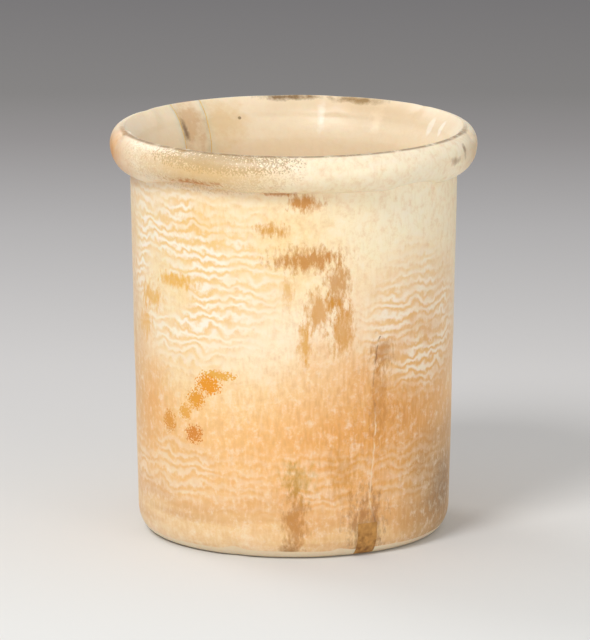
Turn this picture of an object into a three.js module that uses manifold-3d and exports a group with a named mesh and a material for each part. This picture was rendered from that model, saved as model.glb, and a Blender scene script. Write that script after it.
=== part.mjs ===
// Stone drinking cup with a rolled rim, mended at the mouth and at the foot.
// Millimetres, +Z up. The origin is at the middle of the face that the cup stands on.
// +X is to the viewer's right, and the viewer looks along +Y.

import * as THREE from 'three';
import { mergeVertices } from 'three/addons/utils/BufferGeometryUtils.js';
import Module from 'manifold-3d';

// Driving dimensions of the cup
const cupHeight = 93.5;
const rimRadius = 42;
const rimWidestDrop = 4;
const rimRollHeight = 5.8;
const mouthEdgeRadius = 38.8;
const mouthSplayDepth = 9.5;
const splayBulge = 1.2;
const splayBulgeRise = 0.62;
const wallTopRadius = 37.5;
const wallFootRadius = 35.8;
const mouthWall = 3.9;
const footWall = 3.8;
const footRadius = 31.9;
const footRounding = 6;
const floorThickness = 8;
const boreCornerRadius = 11;

// The piece that was broken out of the mouth and set back, at the far left
const fragmentFrom = 124.7;
const fragmentTo = 137.3;
const fragmentDepth = 15;
const jointGap = 0.3;

// The filled chip in the foot, at the near right
const fillAngle = 298;
const fillWidth = 4.3;
const fillHeight = 7.6;
const fillDepth = 2.4;

// Steps of the round stretches
const turnSteps = 72;
const rollSteps = 5;
const splaySteps = 4;
const cornerSteps = 5;
const footSteps = 4;

// How far the cutting blocks reach past the surfaces that they cut
const blockOverrun = 8;
// Corners nearer to each other than this are one corner.
const weldDistance = 0.0001;

// Heights and radii that follow from the driving dimensions
const rimWidestZ = cupHeight - rimWidestDrop;
const rollFootZ = rimWidestZ - rimRollHeight;
const splayFootZ = cupHeight - mouthSplayDepth;
const boreTopRadius = wallTopRadius - mouthWall;
const boreFootRadius = wallFootRadius - footWall;

const wasm = await Module();
wasm.setup();

// Points of a quarter of an ellipse, from one end of its arc to the other, in (radius, height).
function quarterArc(centre, halfWidth, halfHeight, fromDegrees, toDegrees, steps) {
  const curve = new THREE.EllipseCurve(
    centre.x, centre.y, halfWidth, halfHeight,
    THREE.MathUtils.degToRad(fromDegrees), THREE.MathUtils.degToRad(toDegrees),
    toDegrees < fromDegrees
  );
  return curve.getPoints(steps);
}

// Half section of the cup, from the axis at its underside round to the axis on its inner floor.
function cupSection() {
  const foot = quarterArc(
    new THREE.Vector2(footRadius, footRounding),
    wallFootRadius - footRadius, footRounding, -90, 0, footSteps
  );
  // The roll's lower half is a quarter round that leaves the wall in a sharp corner.
  const rollUnder = quarterArc(
    new THREE.Vector2(wallTopRadius, rimWidestZ),
    rimRadius - wallTopRadius, rimRollHeight, -90, 0, rollSteps
  );
  const rollOver = quarterArc(
    new THREE.Vector2(mouthEdgeRadius, rimWidestZ),
    rimRadius - mouthEdgeRadius, rimWidestDrop, 0, 90, rollSteps
  );
  // The mouth is hollowed from its edge down to the bore in a concave sweep.
  const splay = new THREE.QuadraticBezierCurve(
    new THREE.Vector2(mouthEdgeRadius, cupHeight),
    new THREE.Vector2(boreTopRadius + splayBulge, splayFootZ + mouthSplayDepth * splayBulgeRise),
    new THREE.Vector2(boreTopRadius, splayFootZ)
  ).getPoints(splaySteps);
  const corner = quarterArc(
    new THREE.Vector2(boreFootRadius - boreCornerRadius, floorThickness + boreCornerRadius),
    boreCornerRadius, boreCornerRadius, 0, -90, cornerSteps
  );
  return [
    new THREE.Vector2(0, 0),
    ...foot,
    ...rollUnder,
    ...rollOver.slice(1),
    ...splay.slice(1),
    ...corner,
    new THREE.Vector2(0, floorThickness)
  ];
}

// A closed geometry as a solid that can be joined and cut.
function toSolid(geometry) {
  const bare = geometry.clone();
  bare.deleteAttribute('normal');
  bare.deleteAttribute('uv');
  const merged = mergeVertices(bare, weldDistance);
  const triVerts = [];
  const index = merged.index.array;
  for (let i = 0; i < index.length; i += 3) {
    const [a, b, c] = [index[i], index[i + 1], index[i + 2]];
    if (a !== b && b !== c && c !== a) {
      triVerts.push(a, b, c);
    }
  }
  return new wasm.Manifold(new wasm.Mesh({
    numProp: 3,
    vertProperties: new Float32Array(merged.attributes.position.array),
    triVerts: new Uint32Array(triVerts)
  }));
}

function toGeometry(solid) {
  const mesh = solid.getMesh();
  const geometry = new THREE.BufferGeometry();
  geometry.setAttribute('position', new THREE.BufferAttribute(mesh.vertProperties, 3));
  geometry.setIndex(new THREE.BufferAttribute(mesh.triVerts, 1));
  geometry.computeVertexNormals();
  return geometry;
}

// A flat outline in X and Y, raised from one height to another.
function prism(corners, fromZ, toZ) {
  const outline = new THREE.Shape(corners.map(([x, y]) => new THREE.Vector2(x, y)));
  const geometry = new THREE.ExtrudeGeometry(outline, { depth: toZ - fromZ, bevelEnabled: false });
  geometry.translate(0, 0, fromZ);
  return toSolid(geometry);
}

function polar(radius, degrees) {
  const angle = THREE.MathUtils.degToRad(degrees);
  return [radius * Math.cos(angle), radius * Math.sin(angle)];
}

// The block that the mouth fragment fills. grow widens it past its joints on both sides and below.
function fragmentBlock(grow) {
  const outside = rimRadius + blockOverrun;
  const inside = boreTopRadius - blockOverrun;
  const turn = THREE.MathUtils.radToDeg(grow / rimRadius);
  return prism(
    [
      polar(inside, fragmentFrom - turn),
      polar(outside, fragmentFrom - turn),
      polar(outside, fragmentTo + turn),
      polar(inside, fragmentTo + turn)
    ],
    cupHeight - fragmentDepth - grow,
    cupHeight + blockOverrun
  );
}

// The block that the foot fill takes, from below the cup to the top of the chip.
function fillBlock(grow) {
  const half = fillWidth / 2 + grow;
  const inner = wallFootRadius - fillDepth - grow;
  const outer = wallFootRadius + blockOverrun;
  const angle = THREE.MathUtils.degToRad(fillAngle);
  const corners = [[inner, -half], [outer, -half], [outer, half], [inner, half]];
  const turned = corners.map(([x, y]) => [
    x * Math.cos(angle) - y * Math.sin(angle),
    x * Math.sin(angle) + y * Math.cos(angle)
  ]);
  return prism(turned, -blockOverrun, fillHeight + grow);
}

const alabaster = new THREE.MeshStandardMaterial({ color: '#ecd0a0', roughness: 0.35, metalness: 0 });
const rejoined = new THREE.MeshStandardMaterial({ color: '#d8b487', roughness: 0.4, metalness: 0 });
const filler = new THREE.MeshStandardMaterial({ color: '#9c7449', roughness: 0.6, metalness: 0 });

function piece(name, solid, material) {
  const mesh = new THREE.Mesh(toGeometry(solid), material);
  mesh.name = name;
  return mesh;
}

const turned = new THREE.LatheGeometry(cupSection(), turnSteps);
turned.rotateX(Math.PI / 2);
const whole = toSolid(turned);

const cup = new THREE.Group();
cup.add(piece('cup_body', whole.subtract(fragmentBlock(jointGap)).subtract(fillBlock(jointGap)), alabaster));
cup.add(piece('mouth_fragment', whole.intersect(fragmentBlock(0)), rejoined));
cup.add(piece('foot_fill', whole.intersect(fillBlock(0)), filler));

export default cup;
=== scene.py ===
# Looks of a small ancient cup of banded alabaster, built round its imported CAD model.
# Metres, +Z up. The viewer of the photograph looks along +Y. Sizes named here are in
# millimetres unless they say otherwise, and angles go round from +X, so 270 faces the viewer.

import math
from collections import namedtuple

import bmesh
import bpy
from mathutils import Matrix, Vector, noise


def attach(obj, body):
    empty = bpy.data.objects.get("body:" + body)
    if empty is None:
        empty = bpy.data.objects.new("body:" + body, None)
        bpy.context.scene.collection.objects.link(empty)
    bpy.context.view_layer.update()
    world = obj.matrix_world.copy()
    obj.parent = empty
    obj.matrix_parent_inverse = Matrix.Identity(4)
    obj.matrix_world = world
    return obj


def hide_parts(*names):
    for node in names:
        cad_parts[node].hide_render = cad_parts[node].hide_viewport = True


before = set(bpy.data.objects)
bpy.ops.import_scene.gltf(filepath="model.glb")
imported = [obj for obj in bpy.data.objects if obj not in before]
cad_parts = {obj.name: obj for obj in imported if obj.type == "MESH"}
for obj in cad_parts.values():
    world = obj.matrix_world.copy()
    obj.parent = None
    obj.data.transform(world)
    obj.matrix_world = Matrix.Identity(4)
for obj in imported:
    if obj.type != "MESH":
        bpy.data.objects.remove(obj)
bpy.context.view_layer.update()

MM = 0.001

# Section of the cup, as the CAD model has it
CUP_HEIGHT = 93.5
RIM_RADIUS = 42
RIM_WIDEST_Z = 89.5
RIM_ROLL_HEIGHT = 5.8
MOUTH_EDGE_RADIUS = 38.8
MOUTH_SPLAY_DEPTH = 9.5
WALL_TOP_RADIUS = 37.5
WALL_FOOT_RADIUS = 35.8
BORE_TOP_RADIUS = 33.6
BORE_FOOT_RADIUS = 32
FOOT_RADIUS = 31.9
FOOT_ROUNDING = 6
FLOOR_THICKNESS = 8
BORE_CORNER_RADIUS = 11
SPLAY_BULGE = 1.2
SPLAY_BULGE_RISE = 0.62
ROLL_FOOT_Z = RIM_WIDEST_Z - RIM_ROLL_HEIGHT
SPLAY_FOOT_Z = CUP_HEIGHT - MOUTH_SPLAY_DEPTH
# Where the marks and fields of the wall's outer face have their middles
WALL_RADIUS = 36.5

# Facets round the axis, and of each stretch of the section from the underside to the inner floor
TURN_STEPS = 360
UNDERSIDE_STEPS = 8
FOOT_STEPS = 14
WALL_STEPS = 100
ROLL_UNDER_STEPS = 16
ROLL_OVER_STEPS = 14
SPLAY_STEPS = 16
BORE_STEPS = 40
CORNER_STEPS = 12
FLOOR_STEPS = 6

# Points nearer to each other than this are one point
WELD_DISTANCE = 0.002
# Edges that turn by more than this many degrees stay sharp
SHARP_ANGLE = 35

# The mouth fragment and the foot fill, as the CAD model has them
FRAGMENT_FROM = 124.7
FRAGMENT_TO = 137.3
FRAGMENT_DEPTH = 15
JOINT_GAP = 0.3
FILL_ANGLE = 298
FILL_WIDTH = 4.3
FILL_HEIGHT = 7.6
FILL_DEPTH = 2.4

# How far the cutting blocks reach past the surfaces that they cut
BLOCK_OVERRUN = 8
FILL_BLOCK_OVERRUN = 6
FILL_BLOCK_DROP = 4

# Wear of the carved surface: how deep the hand's waver goes, and how far apart its waves are
TOOL_WAVER = 0.22
TOOL_WAVER_SIZE = 14
FINE_WAVER = 0.05
FINE_WAVER_RATIO = 5
# The wall's outer face starts this far inside its foot radius, and the foot's this far inside its own
WALL_MARGIN = 0.2
FOOT_MARGIN = 1
# Points nearer the axis than this stay where they are
AXIS_RADIUS = 1
# Heights that differ by less than this are one height
TINY = 1e-6
# A chip's reach in half widths, how ragged it is, and its ragged spots a millimetre
CHIP_REACH = 3
CHIP_RAGGED = 0.5
CHIP_SPOTS = 1.3
# The rim's lower edge is lifted from this height up
LIFT_START_Z = 78

# Camera, from the outline of the cup in the photograph, in metres
CAMERA_DISTANCE = 1.657
CAMERA_ELEVATION = math.radians(11.95)
CAMERA_AIM = Vector((0.00032, 0, 0.0481))
CAMERA_LENS = 406.9
SENSOR_WIDTH = 36
CLIP_START = 0.05

# Where the lower edge of the rolled rim rises: angle, half width in degrees, rise
EDGE_RISES = [(270, 55, 1.2), (234, 24, 2.1), (314, 16, 1.5)]

# Pits and chips: angle, height, half width, depth
CHIPS = [
    (327, 83, 0.7, 0.5), (320.6, 84.6, 0.6, 0.4), (258.7, 84.6, 0.8, 0.4), (213.7, 85.2, 1.2, 0.5),
    (194, 92.6, 2.2, 0.9), (350, 92.6, 1.8, 0.7), (232, 93.2, 1.0, 0.6), (98, 93.4, 3.2, 0.5),
    (74, 93.2, 2.6, 0.5), (150, 92.8, 2.0, 0.6), (40, 92.9, 1.6, 0.4), (247, 1.5, 2.2, 0.5),
    (288, 1.2, 1.8, 0.4), (20, 1.4, 2.4, 0.5), (110, 1.6, 2.0, 0.5), (165, 1.2, 2.6, 0.5),
]

# Course of the crack: height, and how far it strays sideways from its upright line
CRACK_ANGLE = 300
CRACK_TOP = 51
CRACK_COURSE = [
    (0, 3.6), (4, 2.2), (9.8, 0.1), (13.4, -0.9), (18, -0.7), (24, 0), (34, 0.25), (38, -0.3),
    (45, 0.1), (51, 1.2),
]
CRACK_REACH = 6
CRACK_SHIVER = 1.3
# Half widths of the crack: where it starts to fade, and where it ends
CRACK_CORE = 0.08
CRACK_EDGE = 0.3
CRACK_STRENGTH = 0.7
# Only stone farther out than this, the way that the crack faces, has the crack
CRACK_INNER_RADIUS = 34.8
# The noise between these values breaks the crack up
CRACK_GAPS = (0.36, 0.56)
# Depth of the groove along it, against that of the stone's grain
CRACK_GROOVE = 1.5
# What lies in the crack, by height
CRACK_DUST = [
    (0, "#7A5228"), (9, "#94683A"), (12, "#F0D2A8"), (31, "#F6DDB8"), (35, "#B57C42"), (50, "#7A5028"),
]

# Size of one cell of each noise in the stone. The clouds, specks and threads break up the edges
# of the marks. The grain that grinding leaves is finer on the real cup, and is drawn this coarse
# so that it shows.
CLOUD_CELL = 2.381
SPECK_CELL = 0.4167
SOFT_CELL = 7.692
THREAD_CELL = 1.111
DRIFT_CELL = 22.22
BAND_CELL = 4.348
SUGAR_CELL = 1.923
FIBRE_CELL = 0.7692
GRINDING_CELL = 0.9091

# Threads and fibres run upright and bands run level: along them, their noise is scaled by this
THREAD_SQUEEZE = 0.4
BAND_SQUEEZE = 0.12
FIBRE_SQUEEZE = 0.26

# Colour of the stone by height, and how far it drifts up and down
STONE_STOPS = [
    (0, "#F0CFA2"), (6, "#EECB96"), (10, "#E2B278"), (14, "#EEC086"), (24, "#F5C584"), (33, "#F8D094"),
    (42, "#F8DDAE"), (52, "#FAE8C8"), (68, "#F8E3BA"), (78, "#F7E0B4"), (86, "#F5E3C0"), (92, "#F4E5C8"),
]
STONE_DRIFT = 22

# Growth bands fade in between these heights, and between these values of their noise
BAND_TOP = 34
BAND_FULL = 8
BAND_EDGES = (0.5, 0.66)
BAND_STRENGTH = 0.75

# Coats of the crystals: their noise, the values of it between which each fades in, its strength
# and its colour
CRYSTAL_COATS = [
    ("sugar", 0.5, 0.7, 0.5, "#FCF0DA"),
    ("sugar", 0.5, 0.3, 0.38, "#D8A468"),
    ("fibre", 0.52, 0.75, 0.22, "#FBEBD2"),
    ("fibre", 0.48, 0.28, 0.16, "#D9A974"),
]

# Field of browner fibres low on the right: angle, height, half width, half height
HONEY_FIELD = (300, 28, 38, 36)
HONEY_STREAKS = (0.5, 0.34)
HONEY_STRENGTH = 0.28

# Stone less than this outside the bore's top still belongs to the inner face
FACE_MARGIN = 1
# How strongly the inner face has its own paler colour
INNER_STRENGTH = 0.8

# A brown line on the mouth's edge, on the near side: partly grime held by the edge, partly painted shade
# where the inside drops away below the edge. How far outside the edge it lies, its half widths where it
# starts to fade and where it ends, how far down it goes, and where it fades out on its way to the far
# side
GRIME_AND_SHADE_OFFSET = 0.3
GRIME_AND_SHADE_CORE = 0.3
GRIME_AND_SHADE_EDGE = 0.8
GRIME_AND_SHADE_DEPTH = 1.6
GRIME_AND_SHADE_FADE = (6, -8)
# The noise between these values breaks it up in places
GRIME_AND_SHADE_GAPS = (0.3, 0.5)
GRIME_AND_SHADE_STRENGTH = 0.75

# How far a mark's edge is broken up by its grain, and how softly it fades
GRAIN_EDGES = {
    "cloud": (1.7, 0.6),
    "speck": (3.2, 0.25),
    "plain": (0.15, 0.3),
    "soft": (0.4, 0.75),
    "thread": (2.8, 0.6),
}
# A mark whose middle is nearer the axis than this lies on the inner face
INNER_MARK_RADIUS = 36.45
# A field goes at least this far into the wall, and ends where it falls below this value
FIELD_DEPTH = 5
FIELD_END = 0.02
# How much a mark shrinks inside its field, and the value at which it starts to show
MARK_SHRINK = 0.06
MARK_START = 0.1

Mark = namedtuple("Mark", "angle height wide tall strength colour grain radius")


def mark(angle, height, wide, tall, strength, colour, grain="cloud", radius=WALL_RADIUS):
    """A mark on the stone: where its middle is, its half width and height, and its colour."""
    return Mark(angle, height, wide, tall, strength, colour, grain, radius)


# Broad changes of colour, which lie under the ripples: mostly the stone's own, with painted shade at the
# lower right edge and painted light at the upper right
BODY_TINTS = {
    "tan field at the right": mark(325, 50, 26, 26, 0.5, "#D9A868", "soft"),
    "honey down the right": mark(318, 32, 46, 46, 0.75, "#E09A44", "soft"),
    "honey at the lower right": mark(302, 27, 32, 24, 0.6, "#DE9840", "soft"),
    "honey in the middle": mark(270, 26, 40, 34, 0.4, "#EFA84C", "soft"),
    # Partly the stone's brown, partly painted shade low on the right side next to the floor
    "brown and painted shade at the lower right edge": mark(341, 12, 24, 26, 0.9, "#805606", "soft"),
    "orange at the lower left edge": mark(206, 33, 16, 22, 0.8, "#E8A652", "soft"),
    "tan at the left edge": mark(190, 44, 14, 60, 0.7, "#D3A062", "soft"),
    "yellow at the upper left": mark(232, 64, 22, 24, 0.55, "#F7D07E", "soft"),
    "yellow in the upper middle": mark(268, 70, 20, 22, 0.45, "#F6D288", "soft"),
    # Painted light: a pale tint that lifts the rim's shadow on the wall below it at the upper right
    "painted light at the upper right": mark(318, 80, 36, 22, 0.7, "#FFF4DA", "soft"),
    "pale bloom in the middle": mark(255, 48, 15, 11, 0.5, "#FBEACB", "soft"),
    "honey on the hidden side": mark(62, 28, 36, 30, 0.8, "#E3A65A", "soft"),
    "tan on the hidden side": mark(120, 60, 30, 30, 0.6, "#E3C08C", "soft"),
    "brown low on the hidden side": mark(150, 10, 26, 16, 0.6, "#B98850", "soft"),
}

# Iron stains and specks on the stone, and painted highlights at the top of the far inner wall, by place
# on the cup
BODY_MARKS = {
    "speckled stain on the rim": mark(238, 90.5, 26, 7, 0.24, "#B07C22", "speck", 40),
    "dark specks on the rim": mark(246, 92, 20, 3, 0.45, "#86662A", "speck", 39.5),
    "brown film on the rim": mark(240, 89, 30, 6, 0.55, "#D6AC62", "soft", 41),
    "orange line under the rim": mark(235, 86.6, 11, 1.4, 0.95, "#BF7208", "thread"),
    "orange line under the rim, middle": mark(266, 85, 5.5, 1.2, 0.85, "#C27809", "thread"),
    "stain below the rim": mark(273.7, 82.6, 5.5, 2.8, 0.85, "#CB8209", "thread"),
    "small stain below the rim": mark(262.4, 76.3, 5, 2.4, 0.8, "#D3900D", "thread"),
    "arch of stain": mark(275, 69.8, 12, 4, 0.85, "#C47E14", "thread"),
    "right leg of the arch": mark(285.5, 63.5, 3.8, 10, 0.75, "#C68218", "thread"),
    "patch inside the arch": mark(279, 57.5, 5, 7, 0.75, "#D08C14", "thread"),
    "patch right of the arch": mark(287.5, 53.5, 4.4, 9, 0.75, "#D08C0E", "thread"),
    "drip below the arch": mark(274, 50.5, 2.6, 6.4, 0.75, "#D9980E", "thread"),
    "streak at the arch's left": mark(268, 62, 2.2, 5, 0.5, "#D99811", "thread"),
    "wing of iron specks, top": mark(242, 42.2, 5.5, 1.3, 0.9, "#E5A526", "speck"),
    "wing of iron specks": mark(238, 39.6, 4, 2.8, 1.0, "#E8980C", "speck"),
    "wing of iron specks, foot": mark(232.5, 36, 3, 2.8, 0.95, "#E59A0E", "speck"),
    "wing of iron specks, tail": mark(227.5, 32.6, 2.2, 2.4, 0.8, "#E59E1A", "speck"),
    "specks below the wing": mark(219, 29.6, 2.6, 3, 0.9, "#DC9322", "speck"),
    "specks below the wing, right": mark(231.5, 27.8, 3, 2.6, 0.95, "#D8851E", "speck"),
    "yellow streak at the left": mark(223, 62.6, 9, 2.4, 0.75, "#E8AA0D", "thread"),
    "yellow patch at the left": mark(209, 57.5, 6.5, 4.4, 0.7, "#E6A70E", "thread"),
    "yellow patch at the far left": mark(204, 51, 6, 6, 0.6, "#E5A411", "thread"),
    "yellow veil on the ripples": mark(236, 76, 12, 7, 0.3, "#F0BC50", "thread"),
    "brown vein in the foot": mark(270.5, 9, 4, 15, 0.65, "#B4741A", "thread"),
    "brown vein, lower end": mark(268, 1.6, 4, 3.6, 0.7, "#A06A28"),
    "grey cloud in the foot": mark(272, 19, 6, 6.5, 0.45, "#BE9014", "thread"),
    "brown at the crack's head": mark(303, 47, 4.4, 6, 0.6, "#B87418", "thread"),
    "brown along the crack": mark(302, 36, 3.4, 14, 0.5, "#C07A18", "thread"),
    "brown right of the crack": mark(297.5, 7.5, 7, 12, 0.6, "#9A5C14", "thread"),
    "brown left of the crack": mark(288, 20, 5, 9, 0.5, "#C9860E", "thread"),
    "orange at the left of the rim": mark(189, 88, 20, 9, 1.0, "#D08E40", "soft", 41),
    "brown spot at the right of the rim": mark(331, 89, 3, 1.6, 0.6, "#94683A", "cloud", 41.5),
    "brown line at the right of the rim": mark(338, 90.6, 1.2, 2.6, 0.7, "#7C5630", "cloud", 41.5),
    "tan at the right of the rim": mark(350, 88, 14, 7, 0.6, "#CDA468", "soft", 41),
    "dark strip on the far rim": mark(91, 93.3, 10, 1.6, 0.9, "#705022", "cloud", 40),
    "dark strip on the far rim, right": mark(66, 93.2, 9, 1.8, 0.9, "#7C5E2A", "cloud", 40),
    "dark strip inside the far rim": mark(91, 93.2, 10, 1.1, 0.9, "#705022", "cloud", 36.4),
    "dark strip inside the far rim, right": mark(66, 93, 9, 1.2, 0.9, "#7C5E2A", "cloud", 36.4),
    "black speck inside": mark(110.8, 89.1, 0.6, 0.5, 0.9, "#3A3026", "plain", 36.4),
    # Painted highlights: bright streaks and glints of light at the top of the far inner wall
    "painted highlight streak inside": mark(79.4, 89, 1.4, 6, 0.7, "#FDF6E8", "cloud", 36),
    "painted highlight streak inside, right": mark(57, 89.4, 2.6, 5.4, 0.8, "#FFEFD2", "cloud", 36),
    "painted glint inside": mark(28.5, 90, 1.6, 2.8, 0.8, "#FFF8EA", "plain", 36),
    "painted glint inside, right": mark(20, 90.4, 1.3, 2.4, 0.8, "#FFF8EA", "plain", 36),
    "tan film inside the far rim": mark(58, 91.5, 40, 4.5, 0.4, "#C49A58", "soft", 36),
    "yellow veil inside": mark(118, 88, 9, 9, 0.5, "#DDB878", "cloud", 36),
    "stain on the hidden side": mark(60, 58, 13, 10, 0.7, "#D08A0D", "thread"),
    "specks on the hidden side": mark(118, 38, 9, 3.4, 0.8, "#DF9A22", "speck"),
    "stain on the hidden side, low": mark(140, 16, 12, 8, 0.6, "#BF8812", "thread"),
    "rim stain on the hidden side": mark(85, 88, 14, 4, 0.35, "#B07A20", "speck", 41),
}

# Marks on the mouth fragment
FRAGMENT_MARKS = {
    "orange line on the top": mark(131, 93.3, 6, 1.2, 0.8, "#DE8238", "cloud", 39.8),
    "brown inner face": mark(133, 88, 9, 10, 0.6, "#C99C62", "cloud", 36),
    "dark stroke": mark(136, 87.5, 1.4, 4, 0.75, "#6A4E34", "cloud", 35),
    "brown outer face": mark(131, 88, 8, 7, 0.4, "#B88B58", "cloud", 41),
}

# Where the milky ripples lie: angle, height, half width, half height, strength
RIPPLE_FIELDS = [
    (226, 67, 30, 28, 0.85), (322, 54, 21, 21, 0.7), (268, 18, 46, 9, 0.22), (215, 19, 24, 10, 0.35),
    (320, 19, 20, 9, 0.2), (60, 60, 24, 20, 0.8), (130, 48, 22, 20, 0.8), (95, 20, 34, 9, 0.5),
]
# How far apart the ripples are, how far they waver, and the noises that move and part them
RIPPLE_SPACING = 2.2
RIPPLE_WAVER = 3
RIPPLE_COARSE_CELL = 5.263
RIPPLE_FINE_CELL = 1.923
RIPPLE_FINE_SHARE = 0.45
RIPPLE_PATCH_CELL = 13.33
# The sine wave between these values is a crest, and the noise between these leaves gaps
RIPPLE_CREST = (-0.9, 0.9)
RIPPLE_PATCHES = (0.34, 0.54)
# A field is at its full strength from this value up
RIPPLE_FADE = 0.45
# How strongly honey lies under the crests
RIPPLE_HONEY = 0.62

# Mottle of the filling paste and the adhesive: the size of a cell, and the values of its noise
# between which it goes from one colour to the other
MOTTLE_CELL = 1.429
MOTTLE_EDGES = (0.35, 0.65)
# The paste takes on its third colour from this share of the fill's height up, by this much
FILL_FADE_START = 0.35
FILL_FADE = 0.6

# Depths in metres between which the floor darkens, and its colours on the way
FLOOR_NEAR = -0.1
FLOOR_FAR = 0.75
FLOOR_STOPS = [
    (0, "#E1E1DF"), (0.32, "#CECCCB"), (0.53, "#B5B3B3"), (0.69, "#989595"), (0.78, "#8A8887"),
    (1, "#817F80"),
]
# How far the floor reaches from the cup on each side, in metres
FLOOR_REACH = 4

# Round soft lights: name, place and size in metres, power in watts
LIGHTS = [
    ("key", (-0.5, -0.8, 1.0), 0.45, 8.8),
    ("right_fill", (0.8, -1.0, 0.22), 0.6, 2.8),
    ("back_left", (-0.6, 0.6, 0.8), 0.5, 2.5),
]
SKY_STRENGTH = 0.58


def linear(hex_colour):
    """An sRGB hex colour as the linear colour that a shader takes."""
    values = [int(hex_colour[i:i + 2], 16) / 255 for i in (1, 3, 5)]
    return [v / 12.92 if v <= 0.04045 else ((v + 0.055) / 1.055) ** 2.4 for v in values] + [1]


def cells(size):
    """Cells a metre, from the size of one cell in millimetres."""
    return 1 / (size * MM)


def node(tree, kind, inputs, output=0, **settings):
    """Adds a node with its settings, and sets or links its inputs. Returns one output. A Mix
    node of colours takes its factor at input 0 and its colours at 6 and 7, and gives output 2."""
    made = tree.nodes.new(kind)
    for name, value in settings.items():
        setattr(made, name, value)
    for key, value in inputs.items():
        if isinstance(value, bpy.types.NodeSocket):
            tree.links.new(value, made.inputs[key])
        else:
            made.inputs[key].default_value = value
    return made.outputs[output] if made.outputs else made


def new_material(name):
    """An empty material, and its node tree."""
    material = bpy.data.materials.new(name)
    material.use_nodes = True
    material.node_tree.nodes.clear()
    return material, material.node_tree


def set_stops(ramp, stops):
    """Gives a colour ramp its stops, each a position and a hex colour."""
    while len(ramp.elements) < len(stops):
        ramp.elements.new(0.5)
    for element, (position, colour) in zip(ramp.elements, stops):
        element.position = position
        element.color = linear(colour)


def by_height(tree, height, stops):
    """A colour for each height of the cup, from stops of height and hex colour."""
    share = node(tree, "ShaderNodeMath", {0: height, 1: 1 / (CUP_HEIGHT * MM)}, operation="MULTIPLY")
    colour = node(tree, "ShaderNodeValToRGB", {0: share})
    set_stops(colour.node.color_ramp, [(stop / CUP_HEIGHT, paint) for stop, paint in stops])
    return colour


def field(tree, place, angle, height, wide, tall, radius=WALL_RADIUS):
    """1 at a point on the wall, falling to 0 at its half width and half height."""
    turn = math.radians(angle)
    centre = Vector((radius * math.cos(turn), radius * math.sin(turn), height)) * MM
    local = node(tree, "ShaderNodeMapping", {
        "Vector": place, "Location": centre, "Rotation": (0, 0, turn),
        "Scale": (max(wide, FIELD_DEPTH) * MM, wide * MM, tall * MM),
    }, vector_type="TEXTURE")
    return node(tree, "ShaderNodeTexGradient", {"Vector": local}, 1, gradient_type="SPHERICAL")


def marked(tree, place, grains, faces, colour, marks):
    """The stone's colour with each mark laid over it, its edge broken up by its grain."""
    for one in marks.values():
        near = field(tree, place, one.angle, one.height, one.wide, one.tall, one.radius)
        reach, edge = GRAIN_EDGES[one.grain]
        broken = node(tree, "ShaderNodeMath", {
            0: grains[one.grain], 1: reach, 2: -0.5 * reach - MARK_SHRINK,
        }, operation="MULTIPLY_ADD")
        total = node(tree, "ShaderNodeMath", {0: near, 1: broken}, operation="ADD")
        inside = node(tree, "ShaderNodeMath", {0: near, 1: FIELD_END}, operation="GREATER_THAN")
        cover = node(tree, "ShaderNodeMapRange", {
            "Value": total, "From Min": MARK_START, "From Max": MARK_START + edge,
            "To Max": one.strength,
        })
        mask = node(tree, "ShaderNodeMath", {0: cover, 1: inside}, operation="MULTIPLY")
        face = faces["inner" if one.radius < INNER_MARK_RADIUS else "outer"]
        mask = node(tree, "ShaderNodeMath", {0: mask, 1: face}, operation="MULTIPLY")
        colour = node(tree, "ShaderNodeMix", {
            0: mask, 6: colour, 7: linear(one.colour),
        }, 2, data_type="RGBA")
    return colour


def ripples(tree, place, axes, colour):
    """Milky ripples about 2 mm apart that scallop along the wall, in their own fields."""
    coarse = node(tree, "ShaderNodeTexNoise", {
        "Vector": place, "Scale": cells(RIPPLE_COARSE_CELL), "Detail": 2,
    })
    fine = node(tree, "ShaderNodeTexNoise", {
        "Vector": place, "Scale": cells(RIPPLE_FINE_CELL), "Detail": 3,
    })
    waver = node(tree, "ShaderNodeMath", {
        0: fine, 1: RIPPLE_FINE_SHARE, 2: coarse,
    }, operation="MULTIPLY_ADD")
    lifted = node(tree, "ShaderNodeMath", {
        0: waver, 1: 2 * RIPPLE_WAVER * MM, 2: axes["Z"],
    }, operation="MULTIPLY_ADD")
    phase = node(tree, "ShaderNodeMath", {
        0: lifted, 1: math.tau / (RIPPLE_SPACING * MM),
    }, operation="MULTIPLY")
    wave = node(tree, "ShaderNodeMath", {0: phase}, operation="SINE")
    crest = node(tree, "ShaderNodeMapRange", {
        "Value": wave, "From Min": RIPPLE_CREST[0], "From Max": RIPPLE_CREST[1],
    })
    patchy = node(tree, "ShaderNodeTexNoise", {
        "Vector": place, "Scale": cells(RIPPLE_PATCH_CELL), "Detail": 4,
    })
    whole = None
    for angle, height, wide, tall, strength in RIPPLE_FIELDS:
        near = field(tree, place, angle, height, wide, tall)
        cover = node(tree, "ShaderNodeMapRange", {
            "Value": near, "From Max": RIPPLE_FADE, "To Max": strength,
        })
        if whole is None:
            whole = cover
        else:
            whole = node(tree, "ShaderNodeMath", {0: whole, 1: cover}, operation="MAXIMUM")
    shown = node(tree, "ShaderNodeMapRange", {
        "Value": patchy, "From Min": RIPPLE_PATCHES[0], "From Max": RIPPLE_PATCHES[1],
    })
    mask = node(tree, "ShaderNodeMath", {0: whole, 1: shown}, operation="MULTIPLY")
    bright = node(tree, "ShaderNodeMath", {0: mask, 1: crest}, operation="MULTIPLY")
    soft = node(tree, "ShaderNodeMath", {0: mask, 1: RIPPLE_HONEY}, operation="MULTIPLY")
    honey = node(tree, "ShaderNodeMix", {
        0: soft, 6: colour, 7: linear("#EDBE70"),
    }, 2, data_type="RGBA")
    return node(tree, "ShaderNodeMix", {
        0: bright, 6: honey, 7: linear("#FDF4E4"),
    }, 2, data_type="RGBA")


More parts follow.
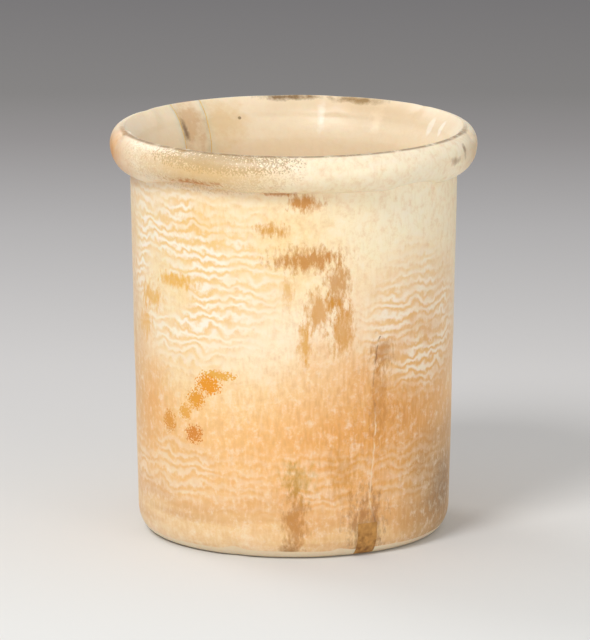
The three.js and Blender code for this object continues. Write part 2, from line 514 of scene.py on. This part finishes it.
def cracked(tree, place, axes, colour):
    """The long crack: a dark hairline at its head and foot, filled with pale dust between.
    Returns the colour with it, and where it is."""
    local = node(tree, "ShaderNodeMapping", {
        "Vector": place, "Rotation": (0, 0, math.radians(CRACK_ANGLE)),
    }, vector_type="TEXTURE")
    parts = node(tree, "ShaderNodeSeparateXYZ", {0: local}).node.outputs
    share = node(tree, "ShaderNodeMath", {
        0: axes["Z"], 1: 1 / (CUP_HEIGHT * MM),
    }, operation="MULTIPLY")
    course = node(tree, "ShaderNodeFloatCurve", {"Value": share})
    mapping = course.node.mapping
    points = mapping.curves[0].points
    while len(points) < len(CRACK_COURSE):
        points.new(0.5, 0.5)
    for point, (height, stray) in zip(points, CRACK_COURSE):
        point.location = (height / CUP_HEIGHT, 0.5 + stray / (2 * CRACK_REACH))
    mapping.update()
    stray = node(tree, "ShaderNodeMath", {
        0: course, 1: 2 * CRACK_REACH * MM, 2: -CRACK_REACH * MM,
    }, operation="MULTIPLY_ADD")
    shiver = node(tree, "ShaderNodeTexNoise", {
        "Vector": place, "Scale": cells(CLOUD_CELL), "Detail": 3,
    })
    shift = node(tree, "ShaderNodeMath", {
        0: shiver, 1: CRACK_SHIVER * MM, 2: stray,
    }, operation="MULTIPLY_ADD")
    across = node(tree, "ShaderNodeMath", {0: parts["Y"], 1: shift}, operation="SUBTRACT")
    centred = node(tree, "ShaderNodeMath", {0: across, 1: CRACK_SHIVER / 2 * MM}, operation="ADD")
    away = node(tree, "ShaderNodeMath", {0: centred}, operation="ABSOLUTE")
    line = node(tree, "ShaderNodeMapRange", {
        "Value": away, "From Min": CRACK_CORE * MM, "From Max": CRACK_EDGE * MM,
        "To Min": CRACK_STRENGTH, "To Max": 0,
    })
    outside = node(tree, "ShaderNodeMath", {
        0: parts["X"], 1: CRACK_INNER_RADIUS * MM,
    }, operation="GREATER_THAN")
    below = node(tree, "ShaderNodeMath", {0: axes["Z"], 1: CRACK_TOP * MM}, operation="LESS_THAN")
    there = node(tree, "ShaderNodeMath", {0: outside, 1: below}, operation="MULTIPLY")
    gappy = node(tree, "ShaderNodeMapRange", {
        "Value": shiver, "From Min": CRACK_GAPS[0], "From Max": CRACK_GAPS[1],
    })
    unbroken = node(tree, "ShaderNodeMath", {0: line, 1: gappy}, operation="MULTIPLY")
    mask = node(tree, "ShaderNodeMath", {0: unbroken, 1: there}, operation="MULTIPLY")
    dust = by_height(tree, axes["Z"], CRACK_DUST)
    return node(tree, "ShaderNodeMix", {0: mask, 6: colour, 7: dust}, 2, data_type="RGBA"), mask


def stone_grains(tree, place):
    """The noises that break up the edges of the marks, by the names that the marks use."""
    cloud = node(tree, "ShaderNodeTexNoise", {
        "Vector": place, "Scale": cells(CLOUD_CELL), "Detail": 8, "Roughness": 0.68,
    })
    squeezed = node(tree, "ShaderNodeMapping", {"Vector": place, "Scale": (1, 1, THREAD_SQUEEZE)})
    return {
        "cloud": cloud,
        "plain": cloud,
        "speck": node(tree, "ShaderNodeTexNoise", {
            "Vector": place, "Scale": cells(SPECK_CELL), "Detail": 4,
        }),
        "soft": node(tree, "ShaderNodeTexNoise", {
            "Vector": place, "Scale": cells(SOFT_CELL), "Detail": 5,
        }),
        "thread": node(tree, "ShaderNodeTexNoise", {
            "Vector": squeezed, "Scale": cells(THREAD_CELL), "Detail": 6, "Roughness": 0.7,
        }),
    }


def wall_faces(tree, axes, radius):
    """Masks of the inner and the outer face, by how far a point lies from the axis."""
    edge = node(tree, "ShaderNodeMapRange", {
        "Value": axes["Z"], "From Min": SPLAY_FOOT_Z * MM, "From Max": CUP_HEIGHT * MM,
        "To Min": (BORE_TOP_RADIUS + FACE_MARGIN) * MM, "To Max": MOUTH_EDGE_RADIUS * MM,
    })
    inner = node(tree, "ShaderNodeMath", {0: radius, 1: edge}, operation="LESS_THAN")
    outer = node(tree, "ShaderNodeMath", {0: 1, 1: inner}, operation="SUBTRACT")
    return {"inner": inner, "outer": outer}


def layered(tree, place, axes):
    """Cream above and honey below, in a drifting line, with level growth bands that sharpen
    towards the foot."""
    drift = node(tree, "ShaderNodeTexNoise", {
        "Vector": place, "Scale": cells(DRIFT_CELL), "Detail": 4,
    })
    height = node(tree, "ShaderNodeMath", {
        0: drift, 1: STONE_DRIFT * MM, 2: axes["Z"],
    }, operation="MULTIPLY_ADD")
    level = node(tree, "ShaderNodeMath", {0: height, 1: STONE_DRIFT / 2 * MM}, operation="SUBTRACT")
    colour = by_height(tree, level, STONE_STOPS)
    squeezed = node(tree, "ShaderNodeMapping", {
        "Vector": place, "Scale": (BAND_SQUEEZE, BAND_SQUEEZE, 1),
    })
    bands = node(tree, "ShaderNodeTexNoise", {
        "Vector": squeezed, "Scale": cells(BAND_CELL), "Detail": 4,
    })
    low = node(tree, "ShaderNodeMapRange", {
        "Value": axes["Z"], "From Min": BAND_TOP * MM, "From Max": BAND_FULL * MM,
        "To Max": BAND_STRENGTH,
    })
    dark = node(tree, "ShaderNodeMapRange", {
        "Value": bands, "From Min": BAND_EDGES[0], "From Max": BAND_EDGES[1],
    })
    mask = node(tree, "ShaderNodeMath", {0: dark, 1: low}, operation="MULTIPLY")
    return node(tree, "ShaderNodeMix", {
        0: mask, 6: colour, 7: linear("#D9A872"),
    }, 2, data_type="RGBA")


def crystals(tree, place, colour):
    """The sugary grain of the crystals, and upright fibres under a millimetre wide. The
    fibres are browner and easier to see in the honey, low on the right."""
    sugar = node(tree, "ShaderNodeTexNoise", {
        "Vector": place, "Scale": cells(SUGAR_CELL), "Detail": 8, "Roughness": 0.72,
    })
    squeezed = node(tree, "ShaderNodeMapping", {"Vector": place, "Scale": (1, 1, FIBRE_SQUEEZE)})
    fibres = node(tree, "ShaderNodeTexNoise", {
        "Vector": squeezed, "Scale": cells(FIBRE_CELL), "Detail": 3,
    })
    noises = {"sugar": sugar, "fibre": fibres}
    for grain, start, full, strength, paint in CRYSTAL_COATS:
        mask = node(tree, "ShaderNodeMapRange", {
            "Value": noises[grain], "From Min": start, "From Max": full, "To Max": strength,
        })
        colour = node(tree, "ShaderNodeMix", {
            0: mask, 6: colour, 7: linear(paint),
        }, 2, data_type="RGBA")
    streak = node(tree, "ShaderNodeMapRange", {
        "Value": fibres, "From Min": HONEY_STREAKS[0], "From Max": HONEY_STREAKS[1],
        "To Max": HONEY_STRENGTH,
    })
    honey = field(tree, place, *HONEY_FIELD)
    mask = node(tree, "ShaderNodeMath", {0: streak, 1: honey}, operation="MULTIPLY")
    return node(tree, "ShaderNodeMix", {
        0: mask, 6: colour, 7: linear("#C07618"),
    }, 2, data_type="RGBA")


def inner_face(tree, grains, faces, colour):
    """The inside is paler and more even than the outside."""
    mottle = node(tree, "ShaderNodeMix", {
        0: grains["cloud"], 6: linear("#EBD6B4"), 7: linear("#F3E4CA"),
    }, 2, data_type="RGBA")
    mask = node(tree, "ShaderNodeMath", {
        0: faces["inner"], 1: INNER_STRENGTH,
    }, operation="MULTIPLY")
    return node(tree, "ShaderNodeMix", {0: mask, 6: colour, 7: mottle}, 2, data_type="RGBA")


def edge_grime_and_shade(tree, axes, radius, grains, colour):
    """A brown line along the mouth's edge on the near side: partly grime held by the edge, partly painted
    shade where the inside drops away below it.
    """
    off_edge = node(tree, "ShaderNodeMath", {
        0: radius, 1: -(MOUTH_EDGE_RADIUS + GRIME_AND_SHADE_OFFSET) * MM,
    }, operation="ADD")
    off_size = node(tree, "ShaderNodeMath", {0: off_edge}, operation="ABSOLUTE")
    on_edge = node(tree, "ShaderNodeMapRange", {
        "Value": off_size, "From Min": GRIME_AND_SHADE_CORE * MM, "From Max": GRIME_AND_SHADE_EDGE * MM,
        "To Min": GRIME_AND_SHADE_STRENGTH, "To Max": 0,
    })
    kept_in_places = node(tree, "ShaderNodeMapRange", {
        "Value": grains["cloud"], "From Min": GRIME_AND_SHADE_GAPS[0], "From Max": GRIME_AND_SHADE_GAPS[1],
    })
    high = node(tree, "ShaderNodeMath", {
        0: axes["Z"], 1: (CUP_HEIGHT - GRIME_AND_SHADE_DEPTH) * MM,
    }, operation="GREATER_THAN")
    near_side = node(tree, "ShaderNodeMapRange", {
        "Value": axes["Y"], "From Min": GRIME_AND_SHADE_FADE[0] * MM, "From Max": GRIME_AND_SHADE_FADE[1] * MM,
    })
    grime_and_shade = on_edge
    for part in (kept_in_places, high, near_side):
        grime_and_shade = node(tree, "ShaderNodeMath", {0: grime_and_shade, 1: part}, operation="MULTIPLY")
    return node(tree, "ShaderNodeMix", {
        0: grime_and_shade, 6: colour, 7: linear("#7E5C2A"),
    }, 2, data_type="RGBA")


def alabaster(name, marks):
    """Calcite alabaster, ground and rubbed smooth: waxy and translucent, so light sinks a few
    millimetres in and its shade stays warm. Cream above, honey below, with milky ripples,
    upright fibres and iron stains."""
    material, tree = new_material(name)
    place = node(tree, "ShaderNodeTexCoord", {}, "Object")
    axes = node(tree, "ShaderNodeSeparateXYZ", {0: place}).node.outputs
    flat = node(tree, "ShaderNodeCombineXYZ", {0: axes["X"], 1: axes["Y"]})
    radius = node(tree, "ShaderNodeVectorMath", {0: flat}, 1, operation="LENGTH")
    grains = stone_grains(tree, place)
    faces = wall_faces(tree, axes, radius)
    colour = layered(tree, place, axes)
    colour = marked(tree, place, grains, faces, colour, BODY_TINTS)
    colour = crystals(tree, place, colour)
    colour = ripples(tree, place, axes, colour)
    colour = inner_face(tree, grains, faces, colour)
    colour = edge_grime_and_shade(tree, axes, radius, grains, colour)
    colour = marked(tree, place, grains, faces, colour, marks)
    colour, crack = cracked(tree, place, axes, colour)
    # The grain that grinding leaves, and a groove along the crack
    rub = node(tree, "ShaderNodeTexNoise", {
        "Vector": place, "Scale": cells(GRINDING_CELL), "Detail": 4,
    })
    relief = node(tree, "ShaderNodeMath", {
        0: crack, 1: -CRACK_GROOVE, 2: rub,
    }, operation="MULTIPLY_ADD")
    normal = node(tree, "ShaderNodeBump", {
        "Strength": 0.3, "Distance": 0.15 * MM, "Height": relief,
    })
    shader = node(tree, "ShaderNodeBsdfPrincipled", {
        "Base Color": colour, "Normal": normal, "Roughness": 0.42, "IOR": 1.5,
        "Subsurface Weight": 0.4, "Subsurface Scale": 3 * MM, "Subsurface Radius": (1.0, 0.62, 0.36),
        "Coat Weight": 0.12, "Coat Roughness": 0.25,
    })
    node(tree, "ShaderNodeOutputMaterial", {"Surface": shader})
    return material


def plain_finish(name, low, high, roughness, top):
    """A mottled finish between two colours. Up the height of the foot fill it fades part of the
    way to a third colour, and above it stays so."""
    material, tree = new_material(name)
    place = node(tree, "ShaderNodeTexCoord", {}, "Object")
    axes = node(tree, "ShaderNodeSeparateXYZ", {0: place}).node.outputs
    cloud = node(tree, "ShaderNodeTexNoise", {
        "Vector": place, "Scale": cells(MOTTLE_CELL), "Detail": 5,
    })
    spread = node(tree, "ShaderNodeMapRange", {
        "Value": cloud, "From Min": MOTTLE_EDGES[0], "From Max": MOTTLE_EDGES[1],
    })
    colour = node(tree, "ShaderNodeMix", {
        0: spread, 6: linear(low), 7: linear(high),
    }, 2, data_type="RGBA")
    near_top = node(tree, "ShaderNodeMapRange", {
        "Value": axes["Z"], "From Min": FILL_FADE_START * FILL_HEIGHT * MM,
        "From Max": FILL_HEIGHT * MM, "To Max": FILL_FADE,
    })
    colour = node(tree, "ShaderNodeMix", {
        0: near_top, 6: colour, 7: linear(top),
    }, 2, data_type="RGBA")
    normal = node(tree, "ShaderNodeBump", {
        "Strength": 0.4, "Distance": 0.2 * MM, "Height": cloud,
    })
    shader = node(tree, "ShaderNodeBsdfPrincipled", {
        "Base Color": colour, "Normal": normal, "Roughness": roughness,
    })
    node(tree, "ShaderNodeOutputMaterial", {"Surface": shader})
    return material


def paper_floor():
    """Matt studio paper, which darkens away from the viewer."""
    material, tree = new_material("paper_floor")
    place = node(tree, "ShaderNodeTexCoord", {}, "Object")
    axes = node(tree, "ShaderNodeSeparateXYZ", {0: place}).node.outputs
    depth = node(tree, "ShaderNodeMapRange", {
        "Value": axes["Y"], "From Min": FLOOR_NEAR, "From Max": FLOOR_FAR,
    })
    colour = node(tree, "ShaderNodeValToRGB", {0: depth})
    set_stops(colour.node.color_ramp, FLOOR_STOPS)
    shader = node(tree, "ShaderNodeBsdfDiffuse", {"Color": colour})
    node(tree, "ShaderNodeOutputMaterial", {"Surface": shader})
    return material


def arc(centre, half_width, half_height, start, end, steps):
    """Points of an elliptic arc in the section, from one angle in degrees to another."""
    angles = [math.radians(start + (end - start) * i / steps) for i in range(steps + 1)]
    return [(centre[0] + half_width * math.cos(a), centre[1] + half_height * math.sin(a)) for a in angles]


def between(start, end, steps):
    """Points evenly between two points, without the two."""
    return [tuple(start[k] + (end[k] - start[k]) * i / steps for k in (0, 1)) for i in range(1, steps)]


def mouth_splay():
    """Points of the concave sweep from the mouth's edge down to the bore, without the edge."""
    points = (
        (MOUTH_EDGE_RADIUS, CUP_HEIGHT),
        (BORE_TOP_RADIUS + SPLAY_BULGE, SPLAY_FOOT_Z + MOUTH_SPLAY_DEPTH * SPLAY_BULGE_RISE),
        (BORE_TOP_RADIUS, SPLAY_FOOT_Z),
    )
    swept = []
    for i in range(1, SPLAY_STEPS + 1):
        t = i / SPLAY_STEPS
        weights = ((1 - t) ** 2, 2 * t * (1 - t), t * t)
        swept.append(tuple(sum(w * p[k] for w, p in zip(weights, points)) for k in (0, 1)))
    return swept


def cup_section():
    """Half section from the axis on the underside round to the axis on the inner floor."""
    foot = arc(
        (FOOT_RADIUS, FOOT_ROUNDING), WALL_FOOT_RADIUS - FOOT_RADIUS, FOOT_ROUNDING, -90, 0, FOOT_STEPS
    )
    under = arc(
        (WALL_TOP_RADIUS, RIM_WIDEST_Z), RIM_RADIUS - WALL_TOP_RADIUS, RIM_ROLL_HEIGHT, -90, 0,
        ROLL_UNDER_STEPS,
    )
    over = arc(
        (MOUTH_EDGE_RADIUS, RIM_WIDEST_Z), RIM_RADIUS - MOUTH_EDGE_RADIUS, CUP_HEIGHT - RIM_WIDEST_Z,
        0, 90, ROLL_OVER_STEPS,
    )
    splay = mouth_splay()
    corner = arc(
        (BORE_FOOT_RADIUS - BORE_CORNER_RADIUS, FLOOR_THICKNESS + BORE_CORNER_RADIUS),
        BORE_CORNER_RADIUS, BORE_CORNER_RADIUS, 0, -90, CORNER_STEPS,
    )
    return (
        [(0, 0)] + between((0, 0), foot[0], UNDERSIDE_STEPS)
        + foot + between(foot[-1], under[0], WALL_STEPS)
        + under + over[1:]
        + splay + between(splay[-1], corner[0], BORE_STEPS)
        + corner + between(corner[-1], (0, FLOOR_THICKNESS), FLOOR_STEPS) + [(0, FLOOR_THICKNESS)]
    )


def turn_between(first, second):
    """The smaller angle between two directions, in degrees."""
    return abs((first - second + 180) % 360 - 180)


def waves(spot):
    """Noise from about 0 to 1."""
    return 0.5 + 0.5 * noise.noise(spot)


def weathered(place):
    """A point of the turned cup after wear: the hand's waver, the rim's uneven lower edge and
    its chips. The surface only ever moves inwards, so the cup keeps its size."""
    x, y, z = (value / MM for value in place)
    radius = math.hypot(x, y)
    if radius < AXIS_RADIUS:
        return place
    angle = math.degrees(math.atan2(y, x)) % 360
    out = radius > WALL_FOOT_RADIUS - WALL_MARGIN
    if z < FOOT_ROUNDING and radius > FOOT_RADIUS - FOOT_MARGIN:
        out = True
    if out and LIFT_START_Z < z < RIM_WIDEST_Z:
        rise = max(
            height * math.cos(min(turn_between(angle, centre) / wide, 1) * math.pi / 2)
            for centre, wide, height in EDGE_RISES
        )
        if z <= ROLL_FOOT_Z + TINY:
            z += rise * (z - LIFT_START_Z) / (ROLL_FOOT_Z - LIFT_START_Z)
        else:
            z += rise * (RIM_WIDEST_Z - z) / RIM_ROLL_HEIGHT
    cut = 0
    if out and z > TINY:
        spot = Vector((x, y, z)) / TOOL_WAVER_SIZE
        cut = TOOL_WAVER * waves(spot) + FINE_WAVER * waves(spot * FINE_WAVER_RATIO)
    for chip_angle, chip_z, wide, deep in CHIPS:
        along = math.radians(turn_between(angle, chip_angle)) * radius
        if out and along < CHIP_REACH * wide and abs(z - chip_z) < CHIP_REACH * wide:
            ragged = 1 + CHIP_RAGGED * noise.noise(Vector((x, y, z)) * CHIP_SPOTS)
            cut += deep * ragged * math.exp(-(along ** 2 + (z - chip_z) ** 2) / wide ** 2)
    scale = (radius - cut) / radius
    return Vector((x * scale, y * scale, z)) * MM


def as_object(mesh, name):
    """A bmesh as an object of the scene."""
    data = bpy.data.meshes.new(name)
    mesh.to_mesh(data)
    mesh.free()
    made = bpy.data.objects.new(name, data)
    bpy.context.scene.collection.objects.link(made)
    return made


def turned_cup():
    """The cup as it was turned and worn, before its pieces broke out."""
    mesh = bmesh.new()
    verts = [mesh.verts.new((r * MM, 0, z * MM)) for r, z in cup_section()]
    edges = [mesh.edges.new(pair) for pair in zip(verts, verts[1:])]
    bmesh.ops.spin(
        mesh, geom=verts + edges, axis=(0, 0, 1), cent=(0, 0, 0), dvec=(0, 0, 0),
        angle=math.tau, steps=TURN_STEPS, use_merge=True, use_duplicate=False,
    )
    bmesh.ops.remove_doubles(mesh, verts=mesh.verts, dist=WELD_DISTANCE * MM)
    bmesh.ops.recalc_face_normals(mesh, faces=mesh.faces)
    for vert in mesh.verts:
        vert.co = weathered(vert.co)
    return as_object(mesh, "turned_cup")


def block(name, corners, low, high):
    """A prism over four corners in millimetres, used as a cutter."""
    mesh = bmesh.new()
    face = mesh.faces.new([mesh.verts.new((x * MM, y * MM, low * MM)) for x, y in corners])
    grown = bmesh.ops.extrude_face_region(mesh, geom=[face])["geom"]
    raised = [item for item in grown if isinstance(item, bmesh.types.BMVert)]
    bmesh.ops.translate(mesh, verts=raised, vec=(0, 0, (high - low) * MM))
    bmesh.ops.recalc_face_normals(mesh, faces=mesh.faces)
    return as_object(mesh, name)


def polar(radius, degrees):
    """The point at a radius and an angle."""
    return radius * math.cos(math.radians(degrees)), radius * math.sin(math.radians(degrees))


def fragment_block(grow):
    """The block that holds the mouth fragment, grown past its joints on both sides and below."""
    turn = math.degrees(grow / RIM_RADIUS)
    low, high = FRAGMENT_FROM - turn, FRAGMENT_TO + turn
    inside, outside = BORE_TOP_RADIUS - BLOCK_OVERRUN, RIM_RADIUS + BLOCK_OVERRUN
    corners = [polar(inside, low), polar(outside, low), polar(outside, high), polar(inside, high)]
    return block(
        "fragment_block", corners, CUP_HEIGHT - FRAGMENT_DEPTH - grow, CUP_HEIGHT + BLOCK_OVERRUN
    )


def fill_block(grow):
    """The block that holds the foot fill, grown past its joint."""
    half = FILL_WIDTH / 2 + grow
    near, far = WALL_FOOT_RADIUS - FILL_DEPTH - grow, WALL_FOOT_RADIUS + FILL_BLOCK_OVERRUN
    turn = math.radians(FILL_ANGLE)
    corners = [
        (x * math.cos(turn) - y * math.sin(turn), x * math.sin(turn) + y * math.cos(turn))
        for x, y in ((near, -half), (far, -half), (far, half), (near, half))
    ]
    return block("fill_block", corners, -FILL_BLOCK_DROP, FILL_HEIGHT + grow)


def cut_from(source, name, material, *cuts):
    """A piece cut from a solid by blocks, each given with DIFFERENCE or INTERSECT."""
    made = bpy.data.objects.new(name, source.data.copy())
    bpy.context.scene.collection.objects.link(made)
    for operation, cutter in cuts:
        step = made.modifiers.new("cut", "BOOLEAN")
        step.operation = operation
        step.solver = "MANIFOLD"
        step.object = cutter
    seen = made.evaluated_get(bpy.context.evaluated_depsgraph_get())
    data = bpy.data.meshes.new_from_object(seen)
    made.modifiers.clear()
    made.data = data
    data.name = name
    data.materials.clear()
    data.materials.append(material)
    data.shade_smooth()
    data.set_sharp_from_angle(angle=math.radians(SHARP_ANGLE))
    return made


def stands_for(piece, cad_node):
    """The piece shows in the place of a solid of the CAD model."""
    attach(piece, "root")
    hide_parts(cad_node)


def make_cup():
    stone = alabaster("rubbed_alabaster", BODY_MARKS)
    old_stone = alabaster("stained_alabaster", FRAGMENT_MARKS)
    # Plaster toned with earth pigments and smoothed by hand: matt, and mottled like a stain
    paste = plain_finish("toned_filling_paste", "#86561C", "#C8924A", 0.6, "#BE8840")
    # Resin pressed out thin and gone yellow: smoother, and paler than the stone beside it
    glue = plain_finish("aged_adhesive", "#E0AC50", "#F5D48C", 0.35, "#F2CC80")
    whole = turned_cup()
    fragment, fragment_bed = fragment_block(0), fragment_block(JOINT_GAP)
    fill_bed = fill_block(JOINT_GAP)
    body = cut_from(whole, "cup_stone", stone, ("DIFFERENCE", fragment_bed), ("DIFFERENCE", fill_bed))
    stands_for(body, "cup_body")
    piece = cut_from(whole, "fragment_stone", old_stone, ("INTERSECT", fragment))
    stands_for(piece, "mouth_fragment")
    # The paste fills its bed up to the stone
    patch = cut_from(whole, "foot_paste", paste, ("INTERSECT", fill_bed))
    stands_for(patch, "foot_fill")
    film = cut_from(whole, "joint_adhesive", glue, ("INTERSECT", fragment_bed), ("DIFFERENCE", fragment))
    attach(film, "root")
    for spent in (whole, fragment, fragment_bed, fill_bed):
        bpy.data.objects.remove(spent)


def area_light(name, place, size, power):
    """A round soft light that faces the cup, its place and size in metres."""
    data = bpy.data.lights.new(name, "AREA")
    data.shape = "DISK"
    data.size = size
    data.energy = power
    made = bpy.data.objects.new(name, data)
    made.location = place
    made.rotation_euler = (CAMERA_AIM - Vector(place)).to_track_quat("-Z", "Y").to_euler()
    bpy.context.scene.collection.objects.link(made)


def make_camera():
    data = bpy.data.cameras.new("camera")
    data.lens = CAMERA_LENS
    data.sensor_width = SENSOR_WIDTH
    data.clip_start = CLIP_START
    made = bpy.data.objects.new("camera", data)
    back = Vector((0, -math.cos(CAMERA_ELEVATION), math.sin(CAMERA_ELEVATION)))
    made.location = CAMERA_AIM + back * CAMERA_DISTANCE
    made.rotation_euler = (-back).to_track_quat("-Z", "Y").to_euler()
    bpy.context.scene.collection.objects.link(made)
    bpy.context.scene.camera = made


def make_stage():
    """A wide paper floor, an even pale sky, and three soft lights: the key at the upper left, a
    low fill at the right, and a weak one behind the cup."""
    mesh = bmesh.new()
    bmesh.ops.create_grid(mesh, x_segments=1, y_segments=1, size=FLOOR_REACH)
    floor = as_object(mesh, "floor")
    floor.data.materials.append(paper_floor())
    world = bpy.data.worlds.new("studio")
    world.use_nodes = True
    sky = world.node_tree.nodes["Background"]
    sky.inputs["Color"].default_value = (1, 1, 1, 1)
    sky.inputs["Strength"].default_value = SKY_STRENGTH
    bpy.context.scene.world = world
    for light in LIGHTS:
        area_light(*light)


make_camera()
make_cup()
make_stage()
bpy.context.scene.view_settings.view_transform = "Standard"
